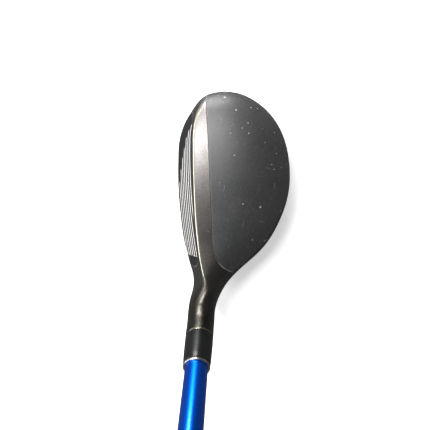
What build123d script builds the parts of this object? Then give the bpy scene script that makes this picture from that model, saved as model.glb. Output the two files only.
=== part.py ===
"""Hybrid golf club at address, built as separate solids.

Millimetres, +Z up.  The sole rests on z = 0 at the origin, the face looks along -Y,
the toe is at -X and the shaft rises towards +X at the lie angle.
Every section of the head comes from head_solid(), so the outside, the crown's underside
and the cavity stay nested whatever sizes are changed.
"""
from build123d import *
import math
import os

# ---------------------------------------------------------------- overall sizes
club_length = 1016.0        # ground point of the shaft axis to the top of the grip
lie_angle = 59.0            # shaft axis above the ground
loft_angle = 22.0           # face leaning back from the vertical
toe_reach = 45.3            # origin to the tip of the toe
crown_height = 38.0         # ground to the highest point of the crown
axis_foot_x = 44.0          # where the shaft axis meets the ground
axis_foot_y = -12.0

# ---------------------------------------------------------------- head
wall = 1.5                  # skirt and sole
crown_thickness = 0.9
bond_thickness = 0.12
ledge_thickness = 0.9
ledge_width = 4.0
seam_height = 20.5          # the crown plate ends here round the toe and the back
seam_gap = 0.06
rim_radius = 1.2            # rounding of the face's rim
seat_wall = 1.2             # casting left behind the face plate
face_bulge = 280.0
bulge_x = 8.0               # where the bulge is furthest forward
leading_y = -23.7           # face surface carried down to the ground, at face_x
face_x = 4.0
heel_turn = 37.5            # on the ground, where the face line starts to curl forward
plate_thickness = 2.4
plate_gap = 0.02
plate_ledge = 2.0
front_wall = plate_thickness + seat_wall
score_width = 0.9
score_depth = 0.4

# ---------------------------------------------------------------- hosel and ferrule
glue_gap = 0.10
sit_gap = 0.02              # between faces of parts fixed on the same body
tip_radius = 4.9            # shaft, where it enters the hosel
hosel_wall = 1.3
hosel_radius = tip_radius + glue_gap + hosel_wall
fillet_along = 38.6 * crown_height / 38.0    # where the crown fillet meets the hosel, along the axis
hosel_rise = 7.1            # straight end of the hosel above the fillet
hosel_top = fillet_along + hosel_rise
bore_depth = 27.1
hosel_floor = hosel_top - bore_depth
crown_fillet = 10.0         # crown to hosel, in the vertical plane
plug_thickness = 1.8
ferrule_length = 17.3
ferrule_step = 0.04         # the ferrule is this much slimmer than the hosel
ferrule_radius = hosel_radius - ferrule_step
ferrule_lip = 0.95          # ferrule's thin end beyond the shaft
ferrule_top_radius = tip_radius + ferrule_lip
ring_length = 1.1

# ---------------------------------------------------------------- shaft
butt_radius = 7.6
tip_wall = 1.3
butt_wall = 1.0
tip_parallel_end = 150.0    # along the axis
butt_parallel = 216.0       # parallel length under the grip
butt_parallel_start = club_length - butt_parallel
pin_length = 24.0
label_length = 90.0
label_to_grip = 96.0        # bare shaft between the label and the grip
label_thickness = 0.08

# ---------------------------------------------------------------- grip
grip_length = 270.0
tape_thickness = 0.15
grip_mouth_radius = 9.6
grip_butt_radius = 13.2
cap_length = 5.0
cap_plug_length = 12.0
cap_plug_wall = 1.5
vent_radius = 1.6
grip_groove_depth = 0.5
label_start = club_length - grip_length - label_to_grip - label_length

# ---------------------------------------------------------------- sole weight
port_x = 4.0
port_y = 18.0
port_tilt = 12.0            # the port leans to stand square to the rising sole
washer_radius = 7.0
washer_thickness = 2.8
screw_head_radius = 4.6
screw_head_height = 2.0
screw_radius = 2.9
screw_length = 9.5
run_gap = 0.05              # radial, where one part turns or slides in another
sleeve_wall = 1.45
sleeve_radius = screw_radius + run_gap + sleeve_wall
boss_wall = 1.55
boss_radius = washer_radius + run_gap + boss_wall
body_gap = 0.30             # between faces that only meet when screwed home
socket_radius = 2.3
socket_depth = 1.7

# ---------------------------------------------------------------- badge and masses
badge_x = -20.0
badge_y = 3.0
badge_half_length = 10.0
badge_half_width = 4.6
badge_thickness = 0.7
badge_film = 0.08

AXIS = Vector(math.cos(math.radians(lie_angle)), 0, math.sin(math.radians(lie_angle)))
ACROSS = Vector(-AXIS.Z, 0, AXIS.X)      # square to the shaft axis, towards the toe and up
FOOT = Vector(axis_foot_x, axis_foot_y, 0)
SHAFT = Plane(origin=FOOT, x_dir=Vector(0, 1, 0), z_dir=AXIS)

LOFT = math.radians(loft_angle)
FACE_NORMAL = Vector(0, -math.cos(LOFT), math.sin(LOFT))
FACE_UP = Vector(0, math.sin(LOFT), math.cos(LOFT))

TILT = math.radians(port_tilt)
PORT_OUT = Vector(0, math.sin(TILT), -math.cos(TILT))

# Cross-sections of the head, toe to heel, for a toe reach of 45.3 and a crown height of 38:
# x, front y, rear y, top z, bottom z, height of the widest line
STATIONS = [
    (-43.9, 1.4, 11.0, 21.8, 14.6, 18.3),
    (-41.7, -5.7, 16.4, 25.6, 10.4, 18.0),
    (-38.0, -13.4, 22.1, 29.7, 6.7, 17.5),
    (-32.0, -21.0, 28.0, 33.7, 3.6, 17.0),
    (-22.0, -28.0, 33.4, 36.8, 1.2, 16.5),
    (-8.0, -32.0, 35.6, 38.0, -0.2, 16.0),
    (6.0, -32.0, 34.0, 37.2, -0.25, 16.0),
    (20.0, -28.5, 27.8, 35.0, 0.4, 16.5),
    (32.0, -25.0, 18.2, 32.8, 2.0, 17.5),
    (42.0, -20.8, 5.0, 31.7, 4.2, 19.0),
]
# The neck turns about the centre of the crown fillet: angle, how far its rear side stands
# behind the shaft axis as a share of the hosel's radius
NECK = [
    (18.0, 1.048),
    (30.0, 0.984),
    (45.0, 1.0),
    (59.0, 1.0),
]
SECTION_POINTS = 28
station_lean = 16.0         # the sections lean towards the toe, as the neck's do


# ================================================================ head form
def section_outline(front, rear, low, high, widest, top_power, low_power):
    """Points of an oval with its own power above and below the widest line."""
    points = []
    for i in range(SECTION_POINTS):
        angle = 2 * math.pi * i / SECTION_POINTS
        c = math.cos(angle)
        s = math.sin(angle)
        power = top_power if s >= 0 else low_power
        across = math.copysign(abs(c) ** (2 / power), c)
        up = math.copysign(abs(s) ** (2 / power), s)
        y = (front + rear) / 2 + (rear - front) / 2 * across
        reach = high - widest if s >= 0 else widest - low
        points.append((y, widest + reach * up))
    return points


def closed_wire(points):
    return Wire([Edge.make_spline([Vector(p) for p in points], periodic=True)])


def neck_pivot():
    """Centre of the crown fillet: where its circle touches the hosel's upper side."""
    return FOOT + AXIS * fillet_along + ACROSS * (hosel_radius + crown_fillet)


def neck_wires():
    """Sections fanned about the pivot, then two rings that make the straight hosel."""
    pivot = neck_pivot()
    heel_low = 6.0 * crown_height / 38.0
    far_side = crown_fillet + 2 * hosel_radius
    wires = []
    for turn, share in NECK:
        angle = math.radians(turn)
        front = axis_foot_y - hosel_radius
        rear = axis_foot_y + hosel_radius * share
        to_line = far_side / math.cos(math.radians(lie_angle) - angle)
        to_sole = (pivot.Z - heel_low) / math.cos(angle)
        deep = (to_line ** -12 + to_sole ** -12) ** (-1 / 12)
        middle = -(crown_fillet + deep) / 2
        power = 2.1 if turn < 20 else 2.0
        outline = section_outline(front, rear, -deep, -crown_fillet, middle, power, power)
        wires.append(closed_wire([
            (pivot.X - h * math.sin(angle), y, pivot.Z + h * math.cos(angle)) for y, h in outline
        ]))
    start = fillet_along + 3.0
    ring = section_outline(-hosel_radius, hosel_radius, -hosel_radius, hosel_radius, 0, 2, 2)
    for along in (start, hosel_top):
        centre = FOOT + AXIS * along
        wires.append(closed_wire([centre + Vector(0, y, 0) + ACROSS * h for y, h in ring]))
    return wires


def head_solid(inset=0.0, with_neck=True):
    """The head's outside moved inwards by inset; without its neck it ends at the heel."""
    tall = crown_height / 38.0
    stretch = (face_x + toe_reach - inset) / (face_x + 45.3)
    sections = [Vertex(-toe_reach + inset, 8.5, 18.5 * tall)]
    for i, (x, front, rear, high, low, widest) in enumerate(STATIONS):
        if x < face_x:
            x = face_x + (x - face_x) * stretch
        ease = min(1.0, i / 4)
        top_power = 2.05 + 0.20 * ease
        low_power = 2.10 + 0.45 * ease
        if i >= len(STATIONS) - 2:
            top_power, low_power = 2.15, 2.3
        outline = section_outline(front + inset, rear - inset, low * tall + inset,
                                  high * tall - inset, widest * tall, top_power, low_power)
        lean = math.tan(math.radians(station_lean))
        sections.append(closed_wire([(x - lean * (z - widest * tall), y, z) for y, z in outline]))
    if with_neck:
        sections += neck_wires()
    return Solid.make_loft(sections)


def face_front(depth=0.0):
    """Everything in front of the face surface moved back by depth.

    At each height the face line is a circle of the bulge radius that curls forward at the
    heel, further out the higher it is, so that the cut runs out in front of the neck.
    """
    sections = []
    for height in (-20.0, 20.0, 60.0):
        turn = heel_turn + 0.15 * height
        level = leading_y + height * math.tan(LOFT) + depth / math.cos(LOFT)
        line = []
        for i in range(10):
            x = -62.0 + (turn + 62.0) * i / 9
            line.append((x, level + (x - bulge_x) ** 2 / (2 * face_bulge)))
        heel = line[-1][1]
        line += [(turn + 5, heel - 0.9), (turn + 10, heel - 4.5), (turn + 14, heel - 11.0),
                 (turn + 16.5, heel - 20.0)]
        line = [Vector(x, y, height) for x, y in line]
        corner = Vector(line[-1].X, -90.0, height)
        far = Vector(-62.0, -90.0, height)
        sections.append(Wire([Edge.make_spline(line), Edge.make_line(line[-1], corner),
                              Edge.make_line(corner, far), Edge.make_line(far, line[0])]))
    return Solid.make_loft(sections)


def face_prism(outline, front=30.0, back=30.0):
    """A face-square prism of the outline, given as x and height up the face."""
    plane = Plane(origin=Vector(0, leading_y, 0), x_dir=Vector(1, 0, 0), z_dir=FACE_NORMAL)
    profile = Face(closed_wire([(x, up, 0) for x, up in outline])).moved(Location((0, 0, -back)))
    return plane.location * Solid.extrude(profile, Vector(0, 0, front + back))


def plate_outline(grow=0.0):
    """Outline of the face plate: x and height up the face, grown outwards by grow."""
    base = [(-37.0, 20.5), (-35.2, 28.0), (-29.5, 33.4), (-17.0, 35.6), (4.0, 34.6),
            (26.0, 31.6), (34.5, 29.0), (37.4, 23.0), (36.0, 12.5), (30.0, 8.0),
            (4.0, 6.8), (-18.0, 7.4), (-30.0, 10.5), (-35.4, 15.0)]
    tall = crown_height / 38.0
    reach = toe_reach / 45.3
    grown = []
    centre_x, centre_up = 0.0, 20.5
    for x, up in base:
        away = math.hypot(x - centre_x, (up - centre_up) * 1.8)
        x += grow * (x - centre_x) / away
        up += grow * (up - centre_up) * 1.8 / away
        grown.append((x * reach if x < 0 else x, up * tall))
    return grown


def crown_region(shrink=0.0):
    """Block over the crown: behind the front seam and above the side seam."""
    reach = toe_reach / 45.3
    seam = [(-60.0, 0.6), (-40.4, -0.4), (-25.0, -0.3), (-11.0, -0.8), (6.0, -1.7), (20.0, -2.6),
            (28.9, -2.9), (34.1, -1.9), (37.5, 0.0), (40.2, 2.7), (42.4, 5.6), (44.6, 9.5),
            (47.5, 15.5)]
    line = [(x * reach if x < 0 else x, y + shrink) for x, y in seam]
    if shrink:
        line[8:] = [(x - shrink * 0.8, y - shrink * 0.5) for x, y in line[8:]]
    curve = Edge.make_spline([Vector(x, y, 0) for x, y in line])
    rim = Polyline(line[-1], (line[-1][0], 60.0), (line[0][0], 60.0), line[0])
    region = Face(Wire([curve] + rim.edges()))
    height = seam_height * crown_height / 38.0 + shrink
    return Solid.extrude(region.moved(Location((0, 0, height))), Vector(0, 0, 60))


def soft_rim(cut_head):
    """Rounds the whole rim of the face: top line, toe, leading edge and heel."""
    middle = Vertex(face_x, leading_y + 19.0 * math.tan(LOFT), 19.0)
    face = min(cut_head.faces(), key=lambda f: f.distance_to(middle))
    return fillet(face.edges(), rim_radius)


# ================================================================ helpers
def turned(profile, plane):
    """Solid of revolution about the plane's Z axis from (radius, height) corners."""
    wire = Wire(Polyline([(r, 0, z) for r, z in profile] + [(profile[0][0], 0, profile[0][1])]).edges())
    solid = revolve(Face(wire), Axis.Z)
    return plane.location * solid


def tube(inner, outer, start, end, plane=SHAFT):
    return turned([(inner, start), (outer, start), (outer, end), (inner, end)], plane)


def rod(radius, start, end, plane=SHAFT):
    return turned([(0, start), (radius, start), (radius, end), (0, end)], plane)


def shaft_radius(along):
    """Outside radius of the shaft at a distance along its axis."""
    share = (along - tip_parallel_end) / (butt_parallel_start - tip_parallel_end)
    share = min(1.0, max(0.0, share))
    return tip_radius + (butt_radius - tip_radius) * share


def port_plane():
    """Z runs out of the sole from the middle of the port's mouth."""
    height = 1.0 * crown_height / 38.0
    return Plane(origin=Vector(port_x, port_y, height), x_dir=Vector(1, 0, 0), z_dir=PORT_OUT)


def oval_prism(half_length, half_width):
    profile = Face(Wire(Edge.make_ellipse(half_length, half_width)))
    profile = profile.moved(Location((badge_x, badge_y, -5)))
    return Solid.extrude(profile, Vector(0, 0, 14))


# ================================================================ head parts
outer = head_solid()
ground = Pos(0, 0, -10) * Box(300, 300, 20)
outside = soft_rim(outer - face_front()) - ground
crown_block = crown_region()
SEAT = crown_thickness + bond_thickness


def make_crown_plate():
    return (outer - head_solid(crown_thickness, False)) & crown_block


def make_crown_bond():
    film = head_solid(crown_thickness + 0.01, False) - head_solid(SEAT - 0.01, False)
    return (film & crown_region(0.2)) - crown_region(ledge_width - 0.3)


def make_face_plate():
    slab = face_front(plate_thickness) - face_front()
    plate = slab & face_prism(plate_outline())
    skin = face_front(score_depth)
    for line in score_lines():
        plate -= line & skin
    return plate


def score_lines():
    """One slot blank for each scoreline: upper one first, toe ends stepping inwards."""
    plane = Plane(origin=Vector(0, leading_y, 0), x_dir=Vector(1, 0, 0), z_dir=FACE_NORMAL)
    blanks = []
    toe_ends = (-29.7, -28.0, -25.0, -20.8, -16.4, -11.0, -5.0)
    for i, toe_end in enumerate(toe_ends):
        up = (33.4 - 3.9 * i) * crown_height / 38.0
        toe_x = toe_end * toe_reach / 45.3
        heel_x = 29.2 if i == 0 else 32.6
        middle = (toe_x + heel_x) / 2
        slot = Pos(middle, up, 0) * Box(heel_x - toe_x, score_width, 40)
        blanks.append(plane.location * slot)
    return blanks


def make_head_body():
    crown_inside = head_solid(SEAT, False)
    body = outside - ((outside - crown_inside) & crown_region(-seam_gap))
    cavity = head_solid(wall, False) - face_front(front_wall)
    ledge_zone = crown_region(-1.5) - crown_region(ledge_width)
    ledge = (crown_inside - head_solid(SEAT + ledge_thickness, False)) & ledge_zone
    body -= cavity - ledge
    body -= face_prism(plate_outline(plate_gap)) & face_front(plate_thickness + sit_gap)
    window = face_prism(plate_outline(-plate_ledge)) & (face_front(front_wall + 1.0) - face_front(1.0))
    body -= window & head_solid(wall, False)
    body += boss()
    body -= port_hollow()
    body -= rod(tip_radius + glue_gap, hosel_floor, hosel_top + 5)
    body -= chamfer_ring()
    body -= oval_prism(badge_half_length + 0.03, badge_half_width + 0.03) - head_solid(
        badge_thickness + badge_film + 0.02, False)
    return body


def chamfer_ring():
    """The bright bevel round the hosel's open end."""
    return turned([(hosel_radius - 0.35, hosel_top + 0.01), (hosel_radius + 1, hosel_top + 0.01),
                   (hosel_radius + 1, hosel_top - 1.35)], SHAFT)


def boss():
    plane = port_plane()
    post = rod(boss_radius, -(washer_thickness + screw_length + 1.6), -0.6, plane)
    return post & head_solid(0.8, False)


def port_hollow():
    plane = port_plane()
    cup = rod(washer_radius + run_gap, -washer_thickness - body_gap, 6, plane)
    deep = washer_thickness + body_gap + screw_length + 0.6
    hole = rod(sleeve_radius + sit_gap, -deep, 0, plane)
    return cup + hole


def make_port_sleeve():
    top = -washer_thickness - body_gap - 0.02
    return tube(screw_radius + run_gap, sleeve_radius, top - screw_length - 0.3, top, port_plane())


def make_weight_washer():
    face = -0.2
    floor = face - washer_thickness + 0.2
    seat = floor + 0.8
    bevel = 0.5
    return turned([(screw_radius + body_gap, floor), (washer_radius, floor),
                   (washer_radius, face - bevel), (washer_radius - bevel, face),
                   (screw_head_radius + body_gap + 0.4, face),
                   (screw_head_radius + body_gap, face - 0.4),
                   (screw_head_radius + body_gap, seat), (screw_radius + body_gap, seat)], port_plane())


def make_weight_screw():
    plane = port_plane()
    under = -washer_thickness + 0.8 + run_gap
    top = under + screw_head_height
    tip = under - screw_length
    screw = turned([(0, tip), (screw_radius - 0.5, tip), (screw_radius, tip + 0.5),
                    (screw_radius, under), (screw_head_radius, under),
                    (screw_head_radius, top - 0.4), (screw_head_radius - 0.4, top), (0, top)], plane)
    star = rod(socket_radius * 0.78, top - socket_depth, top + 1, plane)
    for i in range(6):
        angle = math.radians(60 * i)
        lobe = Pos(socket_radius * 0.74 * math.cos(angle), socket_radius * 0.74 * math.sin(angle),
                   top - socket_depth) * Cylinder(socket_radius * 0.26, socket_depth + 1,
                                                  align=(Align.CENTER, Align.CENTER, Align.MIN))
        star += plane.location * lobe
    return screw - star


def make_sole_badge():
    oval = oval_prism(badge_half_length, badge_half_width)
    badge = (oval & outside) - head_solid(badge_thickness, False)
    for shift in (-3.6, 0.0, 3.6):
        bar = Pos(badge_x + shift, badge_y, 0) * Rot(0, 0, 25) * Box(0.9, 5.4, 20)
        badge -= bar & (outside - head_solid(0.25, False))
    return badge


def make_badge_adhesive():
    film = head_solid(badge_thickness + 0.01, False) - head_solid(badge_thickness + badge_film, False)
    low = Pos(0, 0, -15) * Box(200, 200, 50)
    return film & oval_prism(badge_half_length - 0.4, badge_half_width - 0.4) & low


def make_back_weight():
    block = Pos(4.0, 30.0, 6.5) * Box(24, 10, 13)
    block = block & head_solid(wall + 0.03, False)
    ramp = Pos(4.0, 26.5, 13.0) * Rot(35, 0, 0) * Box(40, 30, 6)
    round_boss = rod(boss_radius + body_gap, -(washer_thickness + screw_length + 6), 3, port_plane())
    return block - ramp - round_boss


def make_hot_melt():
    pad = Pos(-32.0, 9.0, 4.0) * Cylinder(7.0, 8.6)
    return pad & head_solid(wall + 0.03, False)


# ================================================================ shaft parts
def make_hosel_plug():
    return rod(tip_radius + glue_gap - 0.02, hosel_floor + sit_gap, hosel_floor + plug_thickness)


SHAFT_TIP = hosel_floor + plug_thickness + 0.02
SHAFT_BUTT = club_length - cap_length - 0.02
FERRULE_TOP = hosel_top + ferrule_length


def make_tip_epoxy():
    return tube(tip_radius + 0.01, tip_radius + glue_gap - 0.01, SHAFT_TIP + 0.5, hosel_top - 0.5)


def make_ferrule():
    inside = tip_radius + glue_gap
    top = FERRULE_TOP - ring_length - sit_gap
    start = hosel_top + 0.05
    lip = ferrule_top_radius - 0.02
    return turned([(inside, start), (ferrule_radius - 0.15, start), (ferrule_radius, start + 0.5),
                   (ferrule_radius, start + 3.0), (lip + 0.2, top - 3.0), (lip, top - 0.2),
                   (lip - 0.2, top), (inside, top)], SHAFT)


def make_ferrule_ring():
    inside = tip_radius + 0.02
    start = FERRULE_TOP - ring_length
    edge = ferrule_top_radius
    return turned([(inside, start), (edge - 0.1, start), (edge, start + 0.1),
                   (edge, FERRULE_TOP - 0.3), (edge - 0.3, FERRULE_TOP), (inside, FERRULE_TOP)], SHAFT)


def make_ferrule_epoxy():
    top = FERRULE_TOP - ring_length - 1.0
    return tube(tip_radius + 0.01, tip_radius + glue_gap - 0.01, hosel_top + 0.6, top)


def make_tip_pin():
    radius = tip_radius - tip_wall - 0.03
    start = SHAFT_TIP + 0.5
    return turned([(0, start), (radius - 0.5, start), (radius, start + 0.5),
                   (radius, start + pin_length), (0, start + pin_length)], SHAFT)


def make_shaft():
    inner_tip = tip_radius - tip_wall
    inner_butt = butt_radius - butt_wall
    return turned([(inner_tip, SHAFT_TIP), (tip_radius - 0.4, SHAFT_TIP), (tip_radius, SHAFT_TIP + 0.8),
                   (tip_radius, tip_parallel_end), (butt_radius, butt_parallel_start),
                   (butt_radius, SHAFT_BUTT), (inner_butt, SHAFT_BUTT),
                   (inner_butt, butt_parallel_start), (inner_tip, tip_parallel_end)], SHAFT)


def make_shaft_label():
    end = label_start + label_length
    low = shaft_radius(label_start) + 0.01
    high = shaft_radius(end) + 0.01
    return turned([(low, label_start), (low + label_thickness, label_start),
                   (high + label_thickness, end), (high, end)], SHAFT)


# ================================================================ grip parts
GRIP_START = club_length - grip_length
GRIP_END = club_length - cap_length


def under_grip(along):
    return shaft_radius(along) + 0.01 + tape_thickness + 0.02


def make_grip_tape():
    points = [GRIP_START + 1.0, butt_parallel_start, SHAFT_BUTT - 0.5]
    if butt_parallel_start < GRIP_START + 2:
        points = [GRIP_START + 1.0, SHAFT_BUTT - 0.5]
    inside = [(shaft_radius(a) + 0.01, a) for a in points]
    outside_line = [(r + tape_thickness, a) for r, a in reversed(inside)]
    return turned(inside + outside_line, SHAFT)


def grip_surface(along):
    """Outside radius of the grip: a slow flare from the mouth to the butt."""
    share = (along - GRIP_START) / (GRIP_END - GRIP_START)
    share = min(1.0, max(0.0, share))
    return grip_mouth_radius + (grip_butt_radius - grip_mouth_radius) * share ** 1.15


def make_grip_sleeve():
    points = [GRIP_START, butt_parallel_start, GRIP_END]
    if butt_parallel_start < GRIP_START + 2:
        points = [GRIP_START, GRIP_END]
    inside = [(under_grip(a), a) for a in points]
    steps = 24
    outside_line = []
    for i in range(steps + 1):
        along = GRIP_END - (GRIP_END - GRIP_START) * i / steps
        outside_line.append((grip_surface(along), along))
    outside_line[-1] = (grip_mouth_radius - 0.6, GRIP_START)
    outside_line.insert(-1, (grip_mouth_radius, GRIP_START + 0.8))
    sleeve = turned(inside + outside_line, SHAFT)
    for along in (GRIP_START + 12.0, GRIP_START + 16.0, GRIP_END - 16.0, GRIP_END - 12.0):
        radius = grip_surface(along)
        sleeve -= turned([(radius - grip_groove_depth, along - 0.5), (radius + 1, along - 1.2),
                          (radius + 1, along + 1.2), (radius - grip_groove_depth, along + 0.5)], SHAFT)
    return sleeve


def make_grip_cap():
    plug = butt_radius - butt_wall - 0.03
    start = GRIP_END + 0.02
    return turned([(vent_radius, start), (plug - cap_plug_wall, start),
                   (plug - cap_plug_wall, start - cap_plug_length), (plug - 0.4, start - cap_plug_length),
                   (plug, start - cap_plug_length + 0.4), (plug, start), (grip_butt_radius, start),
                   (grip_butt_radius, club_length - 2.2), (grip_butt_radius - 0.8, club_length - 0.9),
                   (grip_butt_radius - 2.6, club_length - 0.1), (grip_butt_radius - 4.0, club_length),
                   (vent_radius, club_length)], SHAFT)


PARTS = {
    "head_body": make_head_body,
    "face_plate": make_face_plate,
    "crown_plate": make_crown_plate,
    "crown_bond": make_crown_bond,
    "sole_badge": make_sole_badge,
    "badge_adhesive": make_badge_adhesive,
    "port_sleeve": make_port_sleeve,
    "weight_washer": make_weight_washer,
    "weight_screw": make_weight_screw,
    "back_weight": make_back_weight,
    "hot_melt_pad": make_hot_melt,
    "hosel_plug": make_hosel_plug,
    "tip_epoxy": make_tip_epoxy,
    "tip_pin": make_tip_pin,
    "ferrule": make_ferrule,
    "ferrule_ring": make_ferrule_ring,
    "ferrule_epoxy": make_ferrule_epoxy,
    "shaft": make_shaft,
    "shaft_label": make_shaft_label,
    "grip_tape": make_grip_tape,
    "grip_sleeve": make_grip_sleeve,
    "grip_cap": make_grip_cap,
}

os.makedirs("parts", exist_ok=True)
for name, make in PARTS.items():
    shape = make()
    solids = shape.solids()
    if len(solids) > 1:
        print(name, "has", len(solids), "solids", [round(s.volume, 3) for s in solids])
    if len(solids) == 1:
        shape = solids[0]
    export_step(shape, f"parts/{name}.step")
    box = shape.bounding_box()
    print(f"{name}: {shape.volume:.1f} mm3, x {box.min.X:.1f}..{box.max.X:.1f},"
          f" y {box.min.Y:.1f}..{box.max.Y:.1f}, z {box.min.Z:.1f}..{box.max.Z:.1f}")
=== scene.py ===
# %% [markdown]
# # A hybrid golf club, cell by cell
# The club is already there as engineering solids, packed as a frame: every body, joint and size comes
# from it.  Blender's part is the look.  Each cell below takes one piece, says what it is on the real
# club, and works out its surface with numpy as whole arrays.

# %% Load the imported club
import bpy
import bmesh
import math
import numpy as np
from mathutils import Matrix, Vector


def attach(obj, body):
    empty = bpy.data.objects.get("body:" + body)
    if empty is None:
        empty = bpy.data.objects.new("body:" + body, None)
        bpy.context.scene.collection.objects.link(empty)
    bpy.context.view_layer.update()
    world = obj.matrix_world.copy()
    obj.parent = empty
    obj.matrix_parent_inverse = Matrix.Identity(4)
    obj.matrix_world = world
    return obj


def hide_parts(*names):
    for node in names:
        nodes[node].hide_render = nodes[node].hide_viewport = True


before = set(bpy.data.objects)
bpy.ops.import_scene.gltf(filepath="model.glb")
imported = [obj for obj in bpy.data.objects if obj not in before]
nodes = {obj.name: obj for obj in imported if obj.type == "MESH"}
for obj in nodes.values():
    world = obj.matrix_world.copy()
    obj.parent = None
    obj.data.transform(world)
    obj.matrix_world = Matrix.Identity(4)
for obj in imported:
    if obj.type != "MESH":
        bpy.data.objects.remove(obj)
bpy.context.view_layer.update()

# %% [markdown]
# ## Sizes
# The same sizes as the solids, in millimetres: they are worked with in millimetres and turned into
# metres when a mesh is made.  The shaft axis leans from the ground point FOOT at the lie angle, and
# the face leans back by the loft.

# %% Sizes and directions
LIE = math.radians(59.0)
LOFT = math.radians(22.0)
FOOT = np.array([44.0, -12.0, 0.0])
ALONG = np.array([math.cos(LIE), 0.0, math.sin(LIE)])
ACROSS = np.array([-math.sin(LIE), 0.0, math.cos(LIE)])
SIDE = np.array([0.0, 1.0, 0.0])
FACE_OUT = np.array([0.0, -math.cos(LOFT), math.sin(LOFT)])
TILT = math.radians(12.0)
PORT = np.array([4.0, 18.0, 1.0])
PORT_OUT = np.array([0.0, math.sin(TILT), -math.cos(TILT)])
PORT_SIDE = np.array([0.0, math.cos(TILT), math.sin(TILT)])
HOSEL_R, HOSEL_TOP, FILLET_R = 6.3, 45.7, 10.0
FILLET_ALONG = 38.6                  # where the crown-to-hosel fillet ends, along the shaft axis
CLUB = 1016.0
TIP_R, BUTT_R = 4.9, 7.6
TAPER_START, TAPER_END = 150.0, 800.0
GRIP_LENGTH, CAP_LENGTH = 270.0, 5.0
TOE = np.array([-45.3, 8.5, 18.5])
SEAM_HEIGHT = 20.5
BADGE = np.array([-20.0, 3.0])       # its middle, x and y
BADGE_HALF = np.array([10.0, 4.6])   # half its length and width
print("club", CLUB, "mm long, hosel", 2 * HOSEL_R, "mm, shaft tip", 2 * TIP_R, "mm across")

# %% [markdown]
# ## From a grid of points to a mesh
# Every new piece is a grid of points: rows by columns.  Neighbouring points make four-sided faces.
# A grid can close round on itself across its columns, and a row that shrinks to one point is a pole:
# merging equal points turns the faces there into triangles, so nothing is left open.

# %% Helper: lay a grid of points as a mesh
def lay_grid(name, points, wrap=True, loop=False, sharp=40.0):
    """Object from a (rows, columns, 3) grid in millimetres.

    Face (i, j) joins points (i, j), (i+1, j), (i+1, j+1), (i, j+1).  wrap joins the last
    column to the first, loop joins the last row to the first.
    """
    rows, cols = points.shape[:2]
    index = np.arange(rows * cols).reshape(rows, cols)
    if wrap:
        index = np.concatenate([index, index[:, :1]], axis=1)
    if loop:
        index = np.concatenate([index, index[:1]], axis=0)
    quads = np.stack([index[:-1, :-1], index[1:, :-1], index[1:, 1:], index[:-1, 1:]], axis=-1)
    quads = quads.reshape(-1, 4)
    mesh = bpy.data.meshes.new(name)
    mesh.vertices.add(rows * cols)
    mesh.vertices.foreach_set("co", (points.reshape(-1, 3) * 0.001).astype(np.float32).ravel())
    mesh.loops.add(quads.size)
    mesh.loops.foreach_set("vertex_index", quads.ravel().astype(np.int32))
    mesh.polygons.add(len(quads))
    mesh.polygons.foreach_set("loop_start", np.arange(0, quads.size, 4, dtype=np.int32))
    mesh.update(calc_edges=True)
    mesh.validate()
    tidy(mesh, sharp)
    piece = bpy.data.objects.new(name, mesh)
    bpy.context.scene.collection.objects.link(piece)
    return piece


def tidy(mesh, sharp):
    """Merges equal points, drops empty faces, turns faces outwards and marks sharp edges."""
    work = bmesh.new()
    work.from_mesh(mesh)
    bmesh.ops.remove_doubles(work, verts=work.verts, dist=2e-7)
    bmesh.ops.dissolve_degenerate(work, edges=work.edges, dist=1e-8)
    bmesh.ops.recalc_face_normals(work, faces=work.faces)
    work.to_mesh(mesh)
    work.free()
    smooth(mesh, sharp)


def smooth(mesh, sharp):
    """Shades smooth, except across edges that turn by more than sharp degrees."""
    mesh.polygons.foreach_set("use_smooth", np.ones(len(mesh.polygons), bool))
    mesh.set_sharp_from_angle(angle=math.radians(sharp))
    mesh.update()


def triangles(piece):
    """A face with n corners is n - 2 triangles."""
    return sum(len(p.vertices) - 2 for p in piece.data.polygons)


# %% Helper: a profile turned about an axis
def turned(name, profile, steps=96, centre=FOOT, axis=ALONG, side=SIDE, ripple=None, sharp=35.0):
    """Surface of revolution: point = centre + height * axis + radius * (cos a * side + sin a * third).

    profile lists (radius, height); ripple(angle, height, radius) may change the radius.
    """
    profile = np.array(profile, float)
    third = np.cross(axis, side)
    angle = np.linspace(0, 2 * np.pi, steps, endpoint=False)[None, :]
    radius = profile[:, :1] + np.zeros_like(angle)
    height = profile[:, 1:] + np.zeros_like(angle)
    if ripple is not None:
        radius = ripple(angle, height, radius)
    points = (centre + height[..., None] * axis
              + (radius * np.cos(angle))[..., None] * side
              + (radius * np.sin(angle))[..., None] * third)
    closed = profile[0, 0] > 0 and profile[-1, 0] > 0
    return lay_grid(name, points, loop=closed, sharp=sharp)


def carve(piece, cutters, sharp=32.0):
    """Cuts closed pieces out of another and throws the cutters away."""
    for cutter in cutters:
        cut = piece.modifiers.new("cut", "BOOLEAN")
        cut.operation = "DIFFERENCE"
        cut.solver = "EXACT"
        cut.object = cutter
    graph = bpy.context.evaluated_depsgraph_get()
    result = bpy.data.meshes.new_from_object(piece.evaluated_get(graph))
    piece.modifiers.clear()
    old = piece.data
    piece.data = result
    bpy.data.meshes.remove(old)
    result.name = piece.name
    for cutter in cutters:
        mesh = cutter.data
        bpy.data.objects.remove(cutter)
        bpy.data.meshes.remove(mesh)
    smooth(result, sharp)
    print(piece.name, "after cutting:", triangles(piece), "triangles")


# %% [markdown]
# ## The head as one formula
# A cast club head is a family of ovals.  Each oval has its own power above and below its widest
# line, which is how the crown can be rounder than the sole.  The ovals are placed from toe to heel,
# leaning a little, then fanned about the centre of the crown-to-hosel fillet until they stand square
# to the shaft.  A cubic spline through them gives the skin between.

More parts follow.
